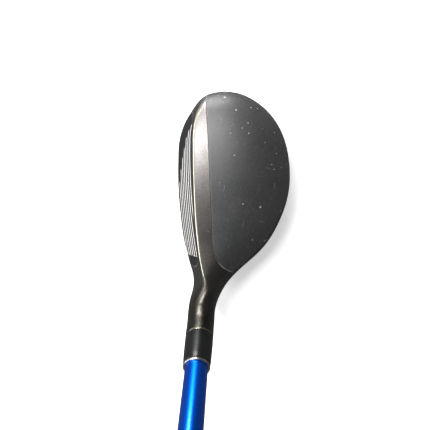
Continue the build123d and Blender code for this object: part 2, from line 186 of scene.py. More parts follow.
# %% The ovals, toe to heel
STATIONS = np.array([
    # x, front y, rear y, top z, bottom z, widest z, power above, power below
    (-43.9, 1.4, 11.0, 21.8, 14.6, 18.3, 2.05, 2.10),
    (-41.7, -5.7, 16.4, 25.6, 10.4, 18.0, 2.10, 2.21),
    (-38.0, -13.4, 22.1, 29.7, 6.7, 17.5, 2.15, 2.325),
    (-32.0, -21.0, 28.0, 33.7, 3.6, 17.0, 2.20, 2.44),
    (-22.0, -28.0, 33.4, 36.8, 1.2, 16.5, 2.25, 2.55),
    (-8.0, -32.0, 35.6, 38.0, -0.2, 16.0, 2.25, 2.55),
    (6.0, -32.0, 34.0, 37.2, -0.25, 16.0, 2.25, 2.55),
    (20.0, -28.5, 27.8, 35.0, 0.4, 16.5, 2.25, 2.55),
    (32.0, -25.0, 18.2, 32.8, 2.0, 17.5, 2.15, 2.30),
    (42.0, -20.8, 5.0, 31.7, 4.2, 19.0, 2.15, 2.30),
])
NECK = [
    # fan angle, front y, rear y, power
    (18.0, -18.3, -5.4, 2.1),
    (30.0, -18.3, -5.8, 2.0),
    (45.0, -18.3, -5.7, 2.0),
    (59.0, -18.3, -5.7, 2.0),
]
LEAN = math.tan(math.radians(16.0))
PIVOT = FOOT + FILLET_ALONG * ALONG + (HOSEL_R + FILLET_R) * ACROSS
HEEL_LOW = 6.0           # height of the sole under the neck
FIXED_X = 4.0            # an inset skin shrinks towards this x
print("section curves:", len(STATIONS), "on the head,", len(NECK), "on the neck")


def oval(turn, front, rear, low, high, widest, over, under):
    """y and height round an oval: |cos|^(2/n) and |sin|^(2/n), n being its power on that side."""
    c, s = np.cos(turn), np.sin(turn)
    power = np.where(s >= 0, over, under)
    y = (front + rear) / 2 + (rear - front) / 2 * np.sign(c) * np.abs(c) ** (2 / power)
    reach = np.where(s >= 0, high - widest, widest - low)
    return y, widest + reach * np.sign(s) * np.abs(s) ** (2 / power)


def ovals(turn, inset=0.0):
    """The stack of section curves at the given turns, moved inwards by inset: (section, ..., 3)."""
    stack = [TOE + np.array([inset, 0, 0]) + np.zeros(turn.shape + (3,))]
    reach = FIXED_X - TOE[0]
    shrink = (reach - inset) / reach
    for x, front, rear, high, low, widest, over, under in STATIONS:
        x = FIXED_X + (x - FIXED_X) * shrink if x < FIXED_X else x
        y, z = oval(turn, front + inset, rear - inset, low + inset, high - inset, widest, over, under)
        stack.append(np.stack([x - LEAN * (z - widest), y, z], axis=-1))
    for degrees, front, rear, power in NECK:
        lean = math.radians(degrees)
        line = (FILLET_R + 2 * HOSEL_R) / math.cos(LIE - lean)
        sole = (PIVOT[2] - HEEL_LOW) / math.cos(lean)
        deep = (line ** -12 + sole ** -12) ** (-1 / 12)
        y, h = oval(turn, front, rear, -deep, -FILLET_R, -(FILLET_R + deep) / 2, power, power)
        stack.append(np.stack([PIVOT[0] - h * math.sin(lean), y, PIVOT[2] + h * math.cos(lean)], axis=-1))
    for along in (FILLET_ALONG + 3.0, HOSEL_TOP):
        y, h = oval(turn, -HOSEL_R, HOSEL_R, -HOSEL_R, HOSEL_R, 0, 2.0, 2.0)
        stack.append(FOOT + along * ALONG + y[..., None] * SIDE + h[..., None] * ACROSS)
    return np.stack(stack)


# %% [markdown]
# ### The spline between the ovals
# A cubic spline is a weighted mean of its sections, so its weights can be worked out once and used
# for any point of the skin.  The knots are the mean distances between neighbouring ovals.

# %% Spline weights
def spline_weights(knots, at):
    """Weights of the cubic spline through the knots, with the end pieces running on unbroken.

    Second slopes m solve h0*m0 + 2(h0+h1)*m1 + h1*m2 = 6*(slope1 - slope0) at each inner knot.
    """
    n = len(knots)
    gap = np.diff(knots)
    left = np.zeros((n, n))
    right = np.zeros((n, n))
    for i in range(1, n - 1):
        left[i, i - 1:i + 2] = gap[i - 1], 2 * (gap[i - 1] + gap[i]), gap[i]
        right[i, i - 1:i + 2] = 6 / gap[i - 1], -6 / gap[i - 1] - 6 / gap[i], 6 / gap[i]
    left[0, :3] = gap[1], -gap[0] - gap[1], gap[0]
    left[-1, -2:] = 1.0, -1.0
    slopes = np.linalg.solve(left, right)
    cell = np.clip(np.searchsorted(knots, at, side="right") - 1, 0, n - 2)
    h = gap[cell][:, None]
    a = ((knots[cell + 1] - at) / gap[cell])[:, None]
    b = 1 - a
    eye = np.eye(n)
    return (a * eye[cell] + b * eye[cell + 1]
            + (h * h / 6) * ((a ** 3 - a) * slopes[cell] + (b ** 3 - b) * slopes[cell + 1]))


ring = np.linspace(0, 2 * np.pi, 64, endpoint=False)
rings = ovals(ring)
KNOTS = np.concatenate([[0], np.cumsum(np.linalg.norm(np.diff(rings, axis=0), axis=-1).mean(axis=1))])
print("distance along the head, toe to hosel mouth:", round(KNOTS[-1], 1), "mm over", len(KNOTS), "ovals")


def head_points(along, turn, inset=0.0):
    """Skin points for rows at distance along and a (rows, columns) array of turns."""
    weights = spline_weights(KNOTS, along)
    return np.einsum("rs,srcd->rcd", weights, ovals(turn, inset))


# %% [markdown]
# ## The face
# The striking face is a nearly flat, slightly bulged surface leaning back by the loft.  The casting
# is simply the ovals cut off by it.  A soft maximum does the cut and rounds the rim in one go: a
# tight round along the top line, a fuller one at the leading edge, and a long one at the heel where
# the face runs out along the neck.

# %% Face surface and soft cut
LEADING_Y = -23.7        # the face carried down to the ground
BULGE_R, BULGE_X = 280.0, 8.0
HEEL_TURN, TOE_TURN = 37.5, -22.0


def face_y(x, z):
    """Ground line + rise of the loft + bulge, a curl forward at the heel and a little back at the toe."""
    heel_curl = np.clip(x - (HEEL_TURN + 0.15 * z), 0, None)
    toe_curl = np.clip(TOE_TURN - x, 0, None)
    return (LEADING_Y + z * math.tan(LOFT) + (np.minimum(x, 60) - BULGE_X) ** 2 / (2 * BULGE_R)
            - 0.9 * (heel_curl / 5.0) ** 2.35 + 0.55 * (toe_curl / 6.5) ** 2)


def soft_max(a, b, width):
    """The larger of two, with a parabola of the given width where they meet."""
    return np.maximum(a, b) + np.clip(width - np.abs(a - b), 0, None) ** 2 / (4 * width)


def ease(value, start, end):
    """0 before start, 1 after end, and t^2 (3 - 2t) between."""
    t = np.clip((value - start) / (end - start), 0, 1)
    return t * t * (3 - 2 * t)


def cut_face(points):
    """Moves whatever is in front of the face back onto it, and the lowest point onto the ground."""
    x, y, z = points[..., 0], points[..., 1], points[..., 2]
    width = 2.4 + 4.5 * (1 - ease(z, 4, 15)) + 5.0 * ease(x, 32, 50) + 4.0 * ease(-x, 30, 40)
    y = soft_max(y, face_y(x, z) - 3.0 * ease(x, 47, 58), width)
    return np.stack([x, y, np.maximum(z, 0.0)], axis=-1)


# %% [markdown]
# ## Spending points where the skin turns
# The rim of the face needs points every few tenths of a millimetre, the crown hardly any.  Each row
# is worked out finely first, then resampled so that a mix of length and turning is shared evenly.

# %% Head casting: skin
def share_out(points, count, bend):
    """Resamples each closed row evenly in (length + its bend * angle turned)."""
    closed = np.concatenate([points, points[:, :1]], axis=1)
    step = np.diff(closed, axis=1)
    length = np.linalg.norm(step, axis=-1)
    unit = step / np.maximum(length, 1e-9)[..., None]
    turn = np.arccos(np.clip((unit * np.roll(unit, 1, axis=1)).sum(-1), -1, 1))
    spread = np.minimum(turn, 0.2)
    for _ in range(4):
        spread = (np.roll(spread, 1, axis=1) + spread + np.roll(spread, -1, axis=1)) / 3
    cost = np.cumsum(length + bend[:, None] * spread, axis=1)
    cost = np.concatenate([np.zeros((len(points), 1)), cost], axis=1)
    out = np.empty((len(points), count, 3))
    for i in range(len(points)):
        want = np.linspace(0, cost[i, -1], count, endpoint=False)
        for k in range(3):
            out[i, :, k] = np.interp(want, cost[i], closed[i, :, k])
    return out


ROWS, COLUMNS, FINE_COLUMNS = 330, 236, 1400
u = np.linspace(0, 1, ROWS)
rows = KNOTS[-1] * (0.35 * u + 0.65 * u ** 1.25)
fine = np.linspace(0, 2 * np.pi, FINE_COLUMNS, endpoint=False)[None, :] + np.zeros((ROWS, 1))
cut = cut_face(head_points(rows, fine))
middle = cut[..., 0].mean(axis=1)
skin = share_out(cut, COLUMNS, bend=9.0 * (1 - ease(middle, 36, 46)))
print("rows of the skin:", ROWS, "with", COLUMNS, "points each")

# %% [markdown]
# ## A soft neck
# The cut leaves a ridge that would run down the neck like a crease, where the real casting is ground
# round.  A row of points is a closed curve, and its Fourier terms are its shape from coarse to fine:
# damping the fine ones melts the ridge and leaves the ellipse.

# %% Neck, hosel and mouth
COVER_R = 5.5            # the skin stays this far from the shaft axis, outside the bore


def soften_neck(grid, softness):
    """Rounds each row: its Fourier term k keeps exp(-(k^2 - 1) softness^2 / 2), so an ellipse stays.

    A last step moves points along the neck out to COVER_R, so that the bore stays covered.
    """
    terms = np.fft.rfft(grid, axis=1)
    order = np.arange(terms.shape[1])[None, :]
    keep = np.exp(-0.5 * np.clip(order ** 2 - 1, 0, None) * softness[:, None] ** 2)
    grid = np.fft.irfft(terms * keep[..., None], n=grid.shape[1], axis=1)
    grid[..., 2] = np.maximum(grid[..., 2], 0.0)
    along = (grid - FOOT) @ ALONG
    centre = FOOT + along[..., None] * ALONG
    out = grid - centre
    radius = np.linalg.norm(out, axis=-1)
    near = (along > 14) & (along < 45) & (radius < COVER_R)
    pushed = centre + out * (COVER_R / np.maximum(radius, 1e-6))[..., None]
    return np.where(near[..., None], pushed, grid)


skin = soften_neck(skin, 0.8 * ease(middle, 40, 55) ** 1.5)
mouth = FOOT + HOSEL_TOP * ALONG
bevel = mouth + (skin[-1] - mouth) * (1 - 0.35 / HOSEL_R)
skin[-1] -= 1.0 * ALONG
skin = np.concatenate([skin, bevel[None], np.broadcast_to(mouth, (1,) + bevel.shape)])
head = lay_grid("head_skin", skin)
print("head skin:", triangles(head), "triangles, toe at x", skin[..., 0].min().round(1))

# %% [markdown]
# ## The crown plate
# The crown is a thin dark plate bonded into a recess of the casting.  Its front seam runs behind the
# face and curls round at the heel; its side seam lies just above the widest line.  The plate and the
# recess are the same patch of skin, one a hair larger than the other, so the seam stays even.

# %% Crown patch
SEAM = np.array([(-60.0, 0.6), (-40.4, -0.4), (-25.0, -0.3), (-11.0, -0.8), (6.0, -1.7), (20.0, -2.6),
                 (28.9, -2.9), (34.1, -1.9), (37.5, 0.0), (40.2, 2.7), (42.4, 5.6), (44.6, 9.5),
                 (47.5, 15.5)])


def seam_distance(points, grow):
    """How far inside the crown's outline a point is: behind the seam line and above the side seam."""
    weights = spline_weights(SEAM[:, 0], np.clip(points[..., 0], -60, 47.5).ravel())
    line = (weights @ SEAM[:, 1]).reshape(points.shape[:-1])
    return np.minimum(points[..., 2] - SEAM_HEIGHT, (points[..., 1] - line) * 0.9) + grow


def crown_patch(name, grow, outer_inset, inner_inset, bevel_inset, row_count=170, col_count=110):
    """Closed shell between two insets of the skin, over the part of it inside the crown's outline.

    Trial rows find where the outline starts and ends along the head, then every row finds the turns
    at which seam_distance passes zero, and its points are shared out between them.
    """
    sweep = np.linspace(0.02, np.pi - 0.02, 900)
    trial = np.linspace(0.2, KNOTS[len(STATIONS)] + 6, 700)
    inside = seam_distance(head_points(trial, sweep[None, :] + np.zeros((len(trial), 1))), grow)
    best = inside.max(axis=1)
    ok = np.nonzero(best > 0)[0]
    first, last = ok[0], ok[-1]
    start = np.interp(0, [best[first - 1], best[first]], [trial[first - 1], trial[first]])
    end = np.interp(0, [-best[last], -best[last + 1]], [trial[last], trial[last + 1]])
    u = np.linspace(0, 1, row_count)
    along = start + (end - start) * (0.5 - 0.5 * np.cos(np.pi * u))
    inside = seam_distance(head_points(along, sweep[None, :] + np.zeros((row_count, 1))), grow)
    low = np.empty(row_count)
    high = np.empty(row_count)
    for i in range(row_count):
        hit = np.nonzero(inside[i] > 0)[0]
        if len(hit) < 2 or i in (0, row_count - 1):
            low[i] = high[i] = sweep[np.argmax(inside[i])]
            continue
        a, b = hit[0], hit[-1]
        low[i] = np.interp(0, inside[i, a - 1:a + 1], sweep[a - 1:a + 1])
        high[i] = np.interp(0, -inside[i, b:b + 2], sweep[b:b + 2])
    share = np.linspace(0, 1, col_count)
    edge = np.array([0.0, 0.0025, 0.006])
    span = (high - low)[:, None]
    near = np.minimum(edge[None, :], span * 0.2)
    across = np.concatenate([low[:, None] + near,
                             low[:, None] + near[:, -1:] + (span - 2 * near[:, -1:]) * share[None, 1:-1],
                             high[:, None] - near[:, ::-1]], axis=1)
    drop = np.concatenate([bevel_inset, np.zeros(col_count - 2), bevel_inset[::-1]]) + outer_inset
    tops = np.empty(across.shape + (3,))
    for value in np.unique(drop):
        pick = drop == value
        tops[:, pick] = head_points(along, across[:, pick], value)
    under = head_points(along, across[:, ::-1], inner_inset)
    return lay_grid(name, np.concatenate([tops, under], axis=1))


crown = crown_patch("crown_skin", 0.0, 0.0, 0.9, np.array([0.16, 0.05, 0.0]))
crown_cut = crown_patch("crown_cut", 0.07, -1.5, 1.02, np.zeros(3), 170, 90)
print("crown plate:", triangles(crown), "triangles")

# %% [markdown]
# ## Face plate and scorelines
# The plate is let into the casting, flush, behind a hairline joint.  Seven scorelines are cut in it.
# Their heel ends line up, and their toe ends step inwards towards the sole.  Each groove is a small
# bar that follows the bulge, taken away from the plate.

# %% Face plate
PLATE = np.array([(-37.0, 20.5), (-35.2, 28.0), (-29.5, 33.4), (-17.0, 35.6), (4.0, 34.6), (26.0, 31.6),
                  (34.5, 29.0), (37.4, 23.0), (36.0, 12.5), (30.0, 8.0), (4.0, 6.8), (-18.0, 7.4),
                  (-30.0, 10.5), (-35.4, 15.0)])


def on_face(x, up, depth):
    """Point of the face at x and a distance up the face, moved straight back by depth."""
    z = up * math.cos(LOFT)
    y = face_y(x, z)
    return np.stack([x, y, z], axis=-1) - np.asarray(depth)[..., None] * FACE_OUT


def closed_spline(points, count):
    """Smooth closed line through the points: the spline runs three times round, the middle is kept."""
    triple = np.concatenate([points, points, points, points[:1]])
    gaps = np.linalg.norm(np.diff(triple, axis=0), axis=1)
    knots = np.concatenate([[0], np.cumsum(gaps)])
    n = len(points)
    at = np.linspace(knots[n], knots[2 * n], count, endpoint=False)
    return spline_weights(knots, at) @ triple


def plate_solid(name, grow, front, back, rounding):
    """Rings from the middle out to the outline, round its edge, and back to the middle behind.

    A ring at share s is centre + s * (outline - centre), laid on the face at its own depth.
    """
    outline = closed_spline(PLATE, 260)
    centre = np.array([0.0, 20.5])
    away = (outline - centre) * np.array([1.0, 1.8])
    outline = outline + grow * away / np.linalg.norm(away, axis=1)[:, None]
    rings = []
    for share in np.concatenate([[0.0], np.linspace(0.04, 0.985, 44)]):
        rings.append((share, front))
    rings += [(0.996, front), (0.9985, front + rounding * 0.3), (1.0, front + rounding), (1.0, back)]
    for share in (0.96, 0.7, 0.4, 0.0):
        rings.append((share, back))
    grid = []
    for share, depth in rings:
        flat = centre + (outline - centre) * share
        grid.append(on_face(flat[:, 0], flat[:, 1], np.full(len(flat), depth)))
    return lay_grid(name, np.array(grid))


TOP_LINE, LINE_PITCH = 33.4, 3.9     # distances up the face


def score_bar(i, toe_end, heel_end):
    """A bar with a rounded root, from toe end to heel end, its ends tapering like a cutter's run-out."""
    up = TOP_LINE - LINE_PITCH * i
    s = np.linspace(0, 1, 90)
    x = toe_end + (heel_end - toe_end) * s
    fade = np.minimum(1, np.minimum(s, 1 - s) * (heel_end - toe_end) / 0.9) ** 0.5
    half = [(0.47, -0.3), (0.42, 0.06), (0.26, 0.34)]
    section = np.array(half + [(0.0, 0.42)] + [(-w, d) for w, d in half[::-1]])
    width, depth = section[:, 0], section[:, 1]
    width = width * np.maximum(fade, 0.15)[:, None]
    depth = np.where(depth > 0, depth * fade[:, None], depth)
    bar = on_face(x[:, None] + 0 * width, up + width, depth)
    first, last = (np.broadcast_to(bar[end].mean(axis=0), (1,) + bar[end].shape) for end in (0, -1))
    return lay_grid(f"score_{i}", np.concatenate([first, bar, last]))


plate = plate_solid("face_plate_skin", 0.0, 0.0, 2.3, 0.10)
plate_cut = plate_solid("plate_cut", 0.03, -2.0, 2.42, 0.0)
toe_ends = (-29.7, -28.0, -25.0, -20.8, -16.4, -11.0, -5.0)
bars = [score_bar(i, toe, 29.2 if i == 0 else 32.6) for i, toe in enumerate(toe_ends)]
carve(plate, bars)
print("scorelines:", len(bars))

# %% [markdown]
# ## Cutting the casting
# The recesses are cut the way a workshop cuts them: the crown seat, the plate seat, the shaft bore,
# the badge seat and the stepped port for the sole weight.

# %% Cut the seats and bores
bore = turned("bore_cut", [(0, 18.6), (5.0, 18.6), (5.0, 52.0), (0, 52.0)], 72)
port = turned("port_cut", [(0, 8.0), (7.05, 8.0), (7.05, -3.1), (4.42, -3.1), (4.42, -13.2), (0, -13.2)],
              96, PORT, PORT_OUT, PORT_SIDE)


def badge_seat():
    """Oval prism from under the ground up to the seat's floor, which follows the sole."""
    angle = np.linspace(0, 2 * np.pi, 120, endpoint=False)
    grid = []
    for share, lift in ((0, -6.0), (1, -6.0), (1, 0.8), (0.9, 0.8), (0.6, 0.8), (0.3, 0.8), (0, 0.8)):
        x = BADGE[0] + (BADGE_HALF[0] + 0.03) * share * np.cos(angle)
        y = BADGE[1] + (BADGE_HALF[1] + 0.03) * share * np.sin(angle)
        grid.append(np.stack([x, y, sole_height(x, y) + lift], axis=-1))
    return lay_grid("badge_cut", np.array(grid))


def sole_height(x, y):
    """Mean height of the four nearest skin points under the badge, each weighted by 1 / distance^2."""
    aside = np.abs(skin[..., :2] - BADGE)
    low = skin[(skin[..., 2] < 8) & (aside[..., 0] < 16) & (aside[..., 1] < 10)]
    gap = (x[:, None] - low[None, :, 0]) ** 2 + (y[:, None] - low[None, :, 1]) ** 2
    pick = np.argpartition(gap, 4, axis=1)[:, :4]
    weight = 1 / (np.take_along_axis(gap, pick, axis=1) + 1e-3)
    return (low[pick, 2] * weight).sum(axis=1) / weight.sum(axis=1)


carve(head, [crown_cut, plate_cut, bore, port, badge_seat()])

# %% [markdown]
# ## Marks left for the finishes
# A finish often needs to know where it is: the rim of the face, where a highlight is painted, the edge of
# the crown, the root of a scoreline.  Each is worked out from the points themselves and kept as a vertex
# attribute.

# %% Vertex attributes
def vertex_arrays(piece):
    """Points in millimetres and unit normals of a piece's vertices."""
    count = len(piece.data.vertices)
    points = np.empty(count * 3, np.float32)
    normals = np.empty(count * 3, np.float32)
    piece.data.vertices.foreach_get("co", points)
    piece.data.vertex_normals.foreach_get("vector", normals)
    return points.reshape(-1, 3) * 1000.0, normals.reshape(-1, 3)


def mark(piece, name, values):
    """Stores one value per point under a name that a material can read."""
    layer = piece.data.attributes.new(name, "FLOAT", "POINT")
    layer.data.foreach_set("value", values.astype(np.float32))
    print(piece.name, name, "covers", round(float((values > 0.5).mean()) * 100, 1), "% of the points")


p, n = vertex_arrays(head)
off_face = np.abs(p[:, 1] - face_y(p[:, 0], p[:, 2]))
# rim: the band along the top line where a bright highlight is painted into the colour.
rim = ease(n[:, 2], 0.42, 0.56) * (1 - ease(n[:, 2], 0.84, 0.95)) * (off_face < 1.6) * (p[:, 2] > 22)
mark(head, "rim", rim * (1 - ease(p[:, 0], 38, 46)) * ease(p[:, 0], -37, -30))
# Painted shade: the heel and neck are painted darker in colour and the toe paler, as painted reflection.
mark(head, "painted_heel_shade", 0.85 * ease(p[:, 0], -26, 44) + 0.15 * ease(p[:, 0], 46, 54))
mark(head, "front", ease(n @ FACE_OUT, 0.70, 0.93) * (1 - ease(p[:, 0], 44, 54)))
up_hosel = (p - FOOT) @ ALONG
mark(head, "mouth", ease(up_hosel, HOSEL_TOP - 0.7, HOSEL_TOP - 0.1) * ease(p[:, 0], 55, 60))

p, n = vertex_arrays(plate)
on_surface = face_y(p[:, 0], p[:, 2]) - p[:, 1]
mark(plate, "groove", ease(-on_surface * math.cos(LOFT), 0.0, 0.05) * (-on_surface < 0.6))

p, n = vertex_arrays(crown)
from_seam = seam_distance(p, 0.0)
mark(crown, "edge", 1 - ease(from_seam, 0.15, 1.1))
mark(crown, "toe_side", 1 - ease(p[:, 0], -38, -24))
# A painted highlight: a pale line along the upward-facing seam at the heel.
mark(crown, "painted_seam_highlight", (1 - ease(from_seam, 0.04, 0.5)) * ease(p[:, 0], 34, 38) * (n[:, 2] > 0.3))

# %% [markdown]
# ## Ferrule, ring, shaft and grip
# These are all turned parts: a profile carried round the shaft axis.  Corners of a profile are
# rounded first, because a real moulded or machined edge always catches a line of light.

# %% Helper: rounded corners
def rounded(corners, radius=0.15, points=4):
    """Replaces each inner corner of an open profile by a short curve: a quadratic between cut-backs."""
    out = [corners[0]]
    for before, here, after in zip(corners[:-2], corners[1:-1], corners[2:]):
        before, here, after = (np.array(c, float) for c in (before, here, after))
        back, on = before - here, after - here
        cut = min(radius, np.linalg.norm(back) * 0.45, np.linalg.norm(on) * 0.45)
        start = here + back / np.linalg.norm(back) * cut
        end = here + on / np.linalg.norm(on) * cut
        t = np.linspace(0, 1, points)[:, None]
        curve = (1 - t) ** 2 * start + 2 * t * (1 - t) * here + t ** 2 * end
        out += [tuple(c) for c in curve]
    return out + [corners[-1]]


# %% Ferrule and ring
RING_TOP = HOSEL_TOP + 17.3
LOW = HOSEL_TOP + 0.05
HIGH = RING_TOP - 1.12
ferrule = turned("ferrule_skin", rounded([
    (5.0, LOW), (6.05, LOW), (6.24, LOW + 0.35), (6.26, LOW + 1.2), (6.26, LOW + 3.0), (6.2, LOW + 6.5),
    (6.03, HIGH - 3.0), (5.86, HIGH - 0.5), (5.66, HIGH), (5.0, HIGH)], 0.22, 5), 128)
ring = turned("ferrule_ring_skin", rounded([
    (4.92, RING_TOP - 1.1), (5.72, RING_TOP - 1.1), (5.85, RING_TOP - 0.95), (5.85, RING_TOP - 0.34),
    (5.56, RING_TOP), (4.92, RING_TOP)], 0.12, 4), 128)
print("ferrule:", triangles(ferrule), "ring:", triangles(ring))

# %% Shaft and label band
SHAFT_LOW, SHAFT_HIGH = 20.42, 1010.98


def shaft_radius(along):
    """Parallel tip, straight taper, parallel butt."""
    return TIP_R + (BUTT_R - TIP_R) * np.clip((along - TAPER_START) / (TAPER_END - TAPER_START), 0, 1)


along = np.concatenate([[SHAFT_LOW + 0.8], np.linspace(40, 1005, 120), [SHAFT_HIGH]])
outside = [(shaft_radius(a), a) for a in along]
bore_line = [(6.6, SHAFT_HIGH), (6.6, TAPER_END), (3.6, TAPER_START), (3.6, SHAFT_LOW)]
shaft = turned("shaft_skin", [(4.5, SHAFT_LOW)] + outside + bore_line, 96)
LABEL_LOW, LABEL_HIGH = 560.0, 650.0
film_line = [(0.01, LABEL_LOW), (0.06, LABEL_LOW), (0.09, LABEL_LOW + 2), (0.09, LABEL_HIGH - 2),
             (0.06, LABEL_HIGH), (0.01, LABEL_HIGH)]
label = turned("shaft_label_skin", [(shaft_radius(a) + lift, a) for lift, a in film_line], 96)
print("shaft:", triangles(shaft), "label:", triangles(label))

# %% [markdown]
# ## Grip
# A rubber sleeve, slimmer at the mouth and flaring to the butt.  The tread is geometry: two families
# of grooves wind round it in opposite directions and leave diamonds standing between them, fading
# out into plain bands near each end, where ring grooves finish it.

# %% Grip sleeve and cap
GRIP_LOW, GRIP_HIGH = CLUB - GRIP_LENGTH, CLUB - CAP_LENGTH
TREAD_COUNT, TREAD_PITCH = 22, 44.0


def tread(angle, height, radius):
    """Radius less a groove wherever either winding phase is near a whole number."""
    share = (height - GRIP_LOW) / (GRIP_HIGH - GRIP_LOW)
    body = ease(height, GRIP_LOW + 19, GRIP_LOW + 23) * (1 - ease(height, GRIP_HIGH - 24, GRIP_HIGH - 20))
    outer = radius > 9.0 - 0.5 * (share < 0.02)
    turns = angle / (2 * np.pi) * TREAD_COUNT
    wind = (height - GRIP_LOW) / TREAD_PITCH * TREAD_COUNT / 3
    near = np.minimum(np.abs((turns + wind) % 1 - 0.5), np.abs((turns - wind) % 1 - 0.5))
    depth = 0.42 * (1 - ease(near, 0.06, 0.17))
    bands = sum(np.exp(-((height - a) / 0.9) ** 2) for a in
                (GRIP_LOW + 12, GRIP_LOW + 16, GRIP_HIGH - 16, GRIP_HIGH - 12))
    return radius - np.where(outer, depth * body + 0.5 * bands, 0)


share = np.linspace(0, 1, 372)
height = GRIP_LOW + (GRIP_HIGH - GRIP_LOW) * share
grip_line = list(zip(9.6 + 3.6 * share ** 1.15, height))
grip_line[0] = (9.1, GRIP_LOW)
grip_line.insert(1, (9.45, GRIP_LOW + 0.2))
inner = [(7.8, GRIP_HIGH), (7.8, TAPER_END), (shaft_radius(GRIP_LOW) + 0.18, GRIP_LOW)]
grip = turned("grip_skin", grip_line + inner, 156, ripple=tread, sharp=50)
CAP_LOW = GRIP_HIGH + 0.02
cap = turned("grip_cap_skin", rounded([
    (1.6, CAP_LOW), (5.07, CAP_LOW), (5.07, CAP_LOW - 12), (6.2, CAP_LOW - 12), (6.57, CAP_LOW - 11.6),
    (6.57, CAP_LOW), (13.2, CAP_LOW), (13.2, CLUB - 2.4), (12.6, CLUB - 1.1), (11.4, CLUB - 0.35),
    (9.2, CLUB), (6.4, CLUB), (6.1, CLUB - 0.35), (5.3, CLUB - 0.35), (5.0, CLUB), (1.9, CLUB),
    (1.6, CLUB - 0.3), (1.6, CAP_LOW)], 0.3, 4), 128, sharp=45)
print("grip:", triangles(grip), "cap:", triangles(cap))

# %% [markdown]
# ## Sole weight
# A washer-shaped weight sits in a cup in the sole, held by a screw with a six-lobed socket.  Both are
# turned about the port's axis; the socket and the thread are ripples of the profile's radius.

# %% Weight washer and screw
washer = turned("weight_washer_skin", rounded([
    (3.2, -2.8), (7.0, -2.8), (7.0, -0.7), (6.5, -0.2), (5.3, -0.2), (4.9, -0.6), (4.9, -2.0), (3.2, -2.0),
    (3.2, -2.8)], 0.12, 4), 128, PORT, PORT_OUT, PORT_SIDE)
THREAD = 1.0


def screw_form(angle, height, radius):
    """Six lobes inside the head; below it a thread, deepest half a pitch from each crest."""
    socket = (radius < 2.4) & (height > -1.9)
    lobes = radius / 2.3 * (1.98 + 0.29 * np.cos(6 * angle))
    phase = np.abs(((height - THREAD * angle / (2 * np.pi)) / THREAD) % 1 - 0.5) * 2
    cut = ease(height, -11.2, -10.6) * (1 - ease(height, -3.2, -2.6)) * (radius > 2.8)
    return np.where(socket, lobes, radius - 0.36 * phase * cut)


shank = [(2.9, h) for h in np.arange(-10.95, -2.05, 0.1)]
screw = turned("weight_screw_skin", [(0, -11.45), (2.4, -11.45)] + shank + [(2.9, -1.95), (4.6, -1.95)]
               + rounded([(4.6, -1.8), (4.6, -0.35), (4.2, 0.05), (2.75, 0.05)], 0.2, 5)
               + [(2.6, 0.03), (2.3, -0.25), (2.3, -1.65), (0, -1.75)], 120,
               PORT, PORT_OUT, PORT_SIDE, ripple=screw_form)
print("washer:", triangles(washer), "screw:", triangles(screw))

# %% [markdown]
# ## Sole badge
# A small oval badge let into the sole, with three plain slanting bars.  Its face follows the sole, and
# the bars are pressed in.

# %% Badge
BAR_SLANT = math.radians(25)


def badge_grid():
    """Rings of an oval laid on the sole: height = sole height + bar depth, then down its edge."""
    angle = np.linspace(0, 2 * np.pi, 180, endpoint=False)
    share = np.concatenate([np.linspace(0, 0.965, 70), [0.985, 1.0, 1.0, 0.6, 0.0]])
    x = BADGE[0] + BADGE_HALF[0] * share[:, None] * np.cos(angle)
    y = BADGE[1] + BADGE_HALF[1] * share[:, None] * np.sin(angle)
    c, s = math.cos(BAR_SLANT), math.sin(BAR_SLANT)
    lift = np.zeros_like(x)
    for shift in (-3.6, 0.0, 3.6):
        along = (x - BADGE[0] - shift) * c + (y - BADGE[1]) * s
        across = -(x - BADGE[0] - shift) * s + (y - BADGE[1]) * c
        inside = (1 - ease(np.abs(along), 0.35, 0.55)) * (1 - ease(np.abs(across), 2.5, 2.8))
        lift = np.maximum(lift, 0.25 * inside)
    lift[70:] = np.array([0.03, 0.12, 0.68, 0.68, 0.68])[:, None]
    z = sole_height(x.ravel(), y.ravel()).reshape(x.shape)
    return np.stack([x, y, np.maximum(z, 0.0) + lift], axis=-1)


badge = lay_grid("sole_badge_skin", badge_grid(), sharp=30)
print("badge:", triangles(badge), "triangles")

# %% [markdown]
# ## Finishes
# Every finish is procedural and reads Object coordinates, which are the club's own frame, so a
# pattern keeps its real size in millimetres everywhere.  Three effects are shared and built once as
# node groups: a fine grain, specks of dust, and hairline scratches.

# %% Helpers for nodes
def node(tree, kind, settings=None, **inputs):
    """Adds a node, sets its properties and its unlinked inputs, and links sockets given as inputs."""
    made = tree.nodes.new("ShaderNode" + kind)
    for name, value in (settings or {}).items():
        setattr(made, name, value)
    for name, value in inputs.items():
        socket = made.inputs[int(name[1:])] if name[0] == "_" else made.inputs[name.replace("_", " ")]
        if isinstance(value, bpy.types.NodeSocket):
            tree.links.new(value, socket)
        else:
            socket.default_value = value
    return made


def maths(operation, a, b=0.0):
    """One Math node on a and b, at least one of which is a socket."""
    tree = (a if isinstance(a, bpy.types.NodeSocket) else b).id_data
    return node(tree, "Math", {"operation": operation}, _0=a, _1=b).outputs[0]


def times(a, b):
    """a * b, for masks that must both hold."""
    return maths("MULTIPLY", a, b)


def most(a, b):
    """The larger of a and b, for masks of which either will do."""
    return maths("MAXIMUM", a, b)


def step(value, start, end, low=0.0, high=1.0):
    """Smooth step from low at start to high at end."""
    made = node(value.id_data, "MapRange", {"interpolation_type": "SMOOTHSTEP"}, Value=value)
    for index, number in enumerate((start, end, low, high), start=1):
        made.inputs[index].default_value = number
    return made.outputs[0]


def paint_value(colour):
    """A socket as it is; red, green and blue, or one grey, as a colour with full alpha."""
    if isinstance(colour, bpy.types.NodeSocket):
        return colour
    return (*colour, 1.0) if isinstance(colour, tuple) else (colour, colour, colour, 1.0)


